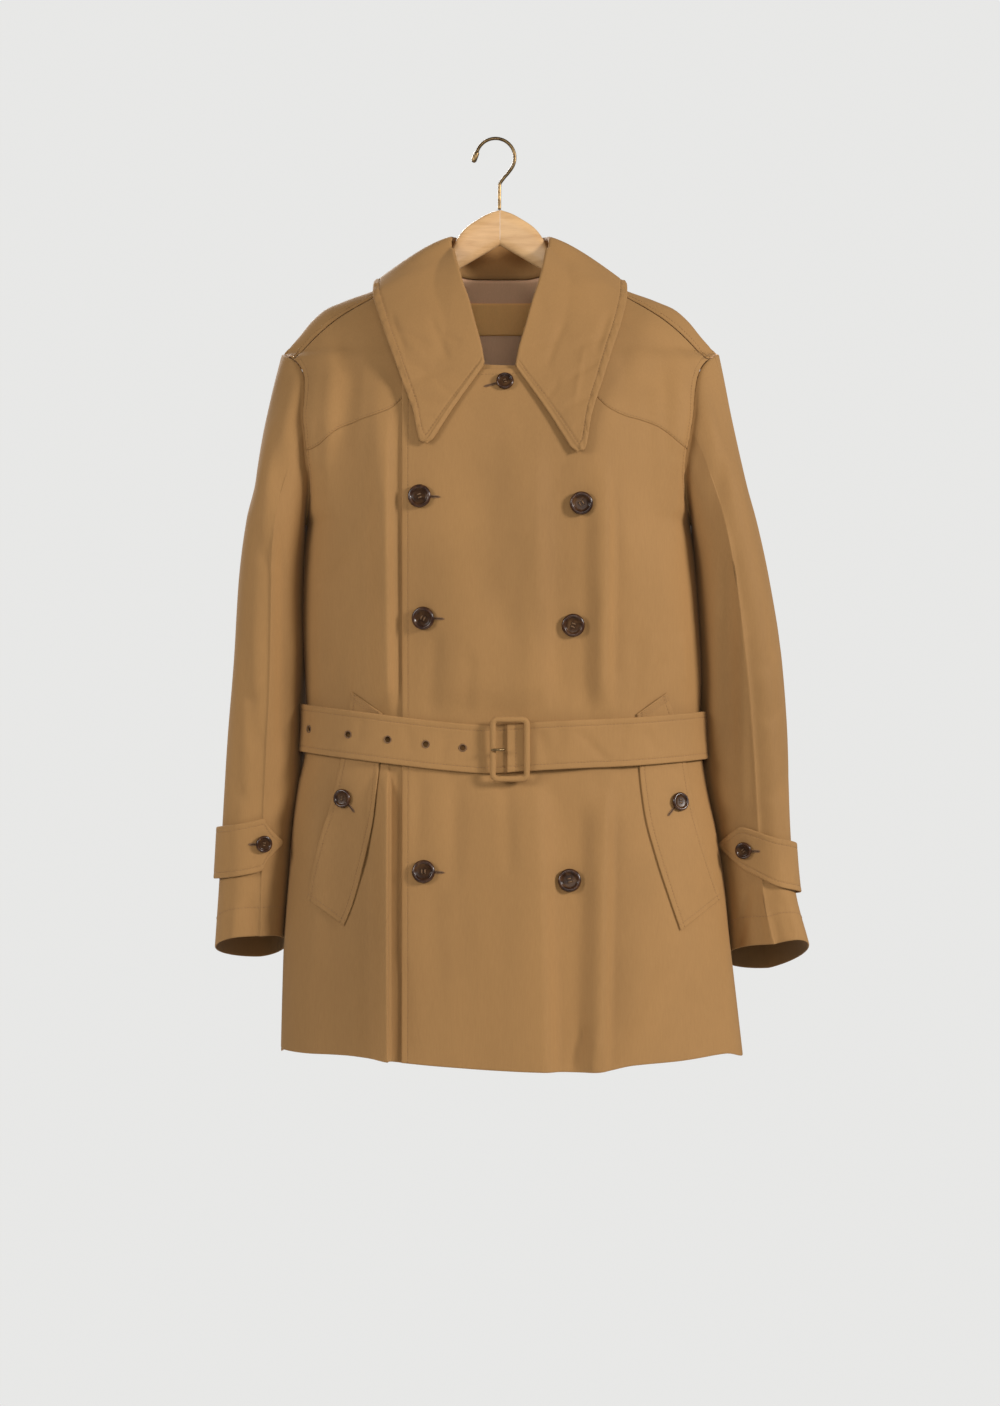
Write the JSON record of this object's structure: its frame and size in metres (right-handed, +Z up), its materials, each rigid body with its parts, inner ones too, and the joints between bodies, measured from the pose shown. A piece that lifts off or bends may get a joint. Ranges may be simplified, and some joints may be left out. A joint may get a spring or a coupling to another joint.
{
  "type": "trench coat on hanger",
  "caption": "Short double-breasted trench coat with a wide pointed collar, buckled belt, welt pockets and strapped cuffs, hanging on a wooden hanger with a wire hook",
  "frame": {"origin": "the inner crown of the hanger's hook, where the coat is held up", "axes": "+Z up along the hook's stem and the coat's length; the front of the coat faces -Y; the wearer's left is +X"},
  "size_m": [0.627, 0.2087, 0.9645],
  "materials": {
    "shell_cloth": "matte tan cotton gabardine",
    "lining_cloth": "satin taupe lining",
    "beech": "clear lacquered light beech",
    "bronze": "dark bronze plated wire",
    "horn": "polished dark brown horn look"
  },
  "bodies": {
    "root": {"back": "shell_cloth", "front_left": "shell_cloth", "front_right": "shell_cloth", "front_yoke_left": "shell_cloth", "front_yoke_right": "shell_cloth", "sleeve_left_upper": "shell_cloth", "sleeve_left_under": "shell_cloth", "sleeve_right_upper": "shell_cloth", "sleeve_right_under": "shell_cloth", "cuff_strap_left": "shell_cloth", "cuff_strap_right": "shell_cloth", "collar_fall": "shell_cloth", "collar_stand": "shell_cloth", "neck_band": "shell_cloth", "pocket_welt_left": "shell_cloth", "pocket_welt_right": "shell_cloth", "belt": "shell_cloth", "buckle_frame": "shell_cloth", "back_lining": "lining_cloth", "button_collar": "horn", "button_front_1": "horn", "button_front_2": "horn", "button_front_3": "horn", "button_front_4": "horn", "button_front_5": "horn", "button_front_6": "horn", "button_pocket_left": "horn", "button_pocket_right": "horn", "button_cuff_left": "horn", "button_cuff_right": "horn", "hook": "bronze", "hook_tip": "bronze", "buckle_prong": "bronze", "hanger_arm_left": "beech", "hanger_arm_right": "beech"}
  },
  "joints": []
}
